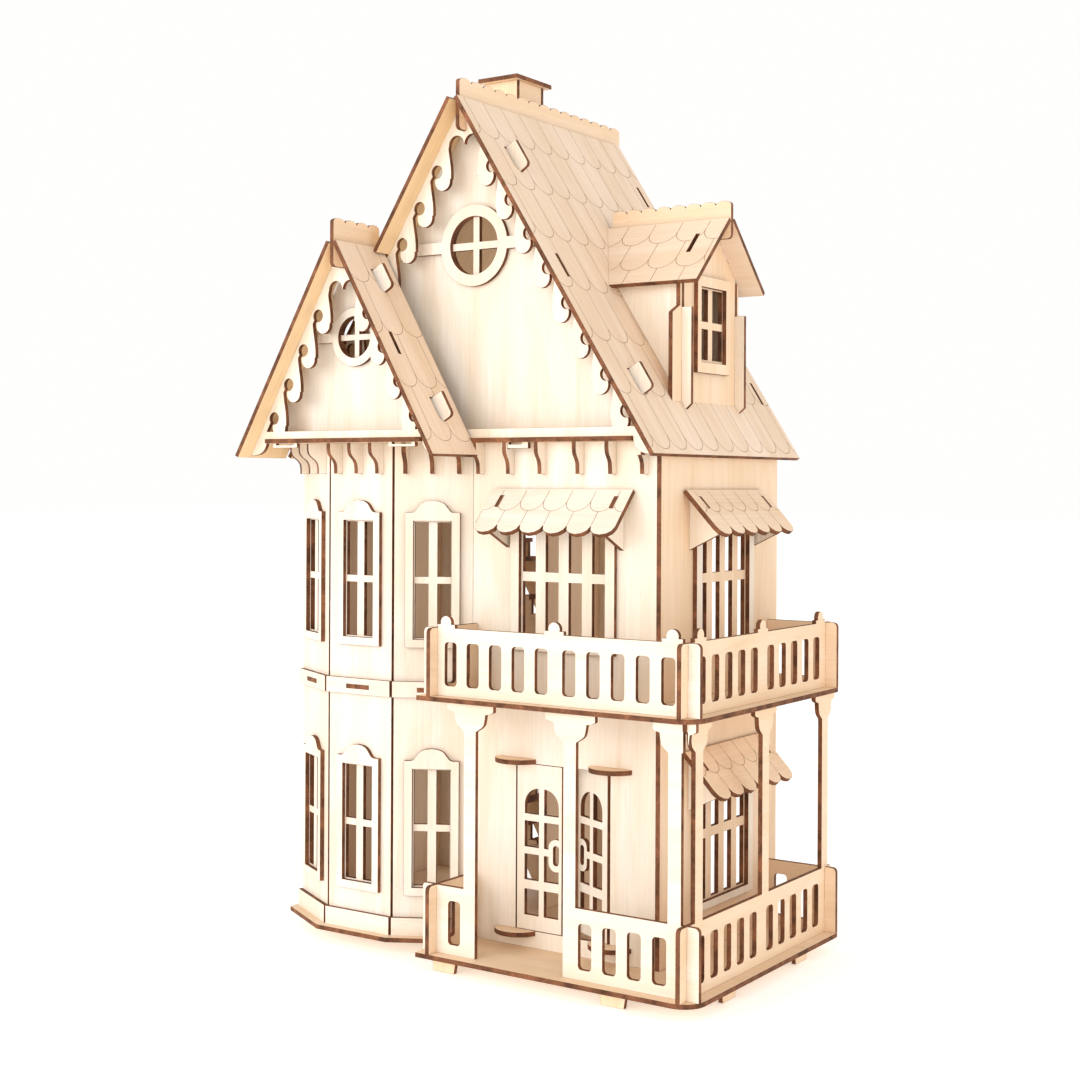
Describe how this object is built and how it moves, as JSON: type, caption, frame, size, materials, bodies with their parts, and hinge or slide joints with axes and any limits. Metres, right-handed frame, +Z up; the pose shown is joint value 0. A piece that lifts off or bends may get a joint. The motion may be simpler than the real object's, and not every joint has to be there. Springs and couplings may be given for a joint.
{
  "type": "wooden dollhouse",
  "caption": "Laser-cut plywood dollhouse with a bay tower, wrap-round porch and balcony, steep gabled roofs, dormer, chimney and a double front door.",
  "frame": {"origin": "centre of the bounding box at the feet's underside", "axes": "+Z up, -Y towards the front door, +X towards the porch side"},
  "size_m": [0.3524, 0.242, 0.594],
  "materials": {
    "birch_face": "matte",
    "birch_trim": "matte",
    "birch_shingle": "matte",
    "birch_plate": "matte",
    "birch_rail": "matte"
  },
  "bodies": {
    "root": {"base_plate": "birch_plate", "feet": "birch_plate", "first_floor": "birch_plate", "attic_floor": "birch_plate", "front_wall_ground": "birch_face", "front_wall_upper": "birch_face", "right_wall_ground": "birch_face", "right_wall_upper": "birch_face", "left_wall_ground": "birch_face", "left_wall_upper": "birch_face", "bay_walls_ground": "birch_face", "bay_walls_upper": "birch_face", "bay_base_bands": "birch_face", "bay_floor_bands": "birch_face", "bay_window_frames": "birch_trim", "front_window_frame": "birch_trim", "right_window_frames": "birch_trim", "inner_wall_ground": "birch_face", "inner_wall_upper": "birch_face", "rear_walls": "birch_face", "stairs_ground": "birch_face", "stairs_upper": "birch_face", "hinge_plates": "birch_face", "porch_front": "birch_rail", "porch_side": "birch_rail", "porch_left_return": "birch_rail", "porch_rear": "birch_rail", "balcony_front": "birch_rail", "balcony_side": "birch_rail", "balcony_left_return": "birch_rail", "balcony_rear": "birch_rail", "corbels_main": "birch_face", "corbels_bay": "birch_face", "awning_front": "birch_shingle", "awning_side_upper": "birch_shingle", "awning_side_ground": "birch_shingle", "awning_brackets": "birch_face", "main_gable_wall": "birch_face", "main_gable_ring": "birch_trim", "main_bargeboard": "birch_trim", "main_roof_right": "birch_shingle", "main_roof_left": "birch_shingle", "main_ridge_board": "birch_face", "rear_gable_frame": "birch_face", "bay_gable_wall": "birch_face", "bay_gable_ring": "birch_trim", "bay_bargeboard": "birch_trim", "bay_roof_right": "birch_shingle", "bay_roof_left": "birch_shingle", "bay_ridge_board": "birch_face", "dormer_front_wall": "birch_face", "dormer_cheeks": "birch_face", "dormer_window_frame": "birch_trim", "dormer_roof_front": "birch_shingle", "dormer_roof_rear": "birch_shingle", "dormer_ridge_board": "birch_face", "chimney_walls": "birch_face", "chimney_cap": "birch_face"},
    "door_left": {"door_left": "birch_trim"},
    "door_right": {"door_right": "birch_trim"}
  },
  "joints": [
    {"name": "door_left_hinge", "type": "hinge", "parent": "root", "child": "door_left", "pos_m": [0.0203, -0.0615, 0.0765], "axis": [0, 0, 1], "range_deg": [0, 110]},
    {"name": "door_right_hinge", "type": "hinge", "parent": "root", "child": "door_right", "pos_m": [0.0868, -0.0615, 0.0765], "axis": [0, 0, -1], "range_deg": [-26, 84]}
  ]
}
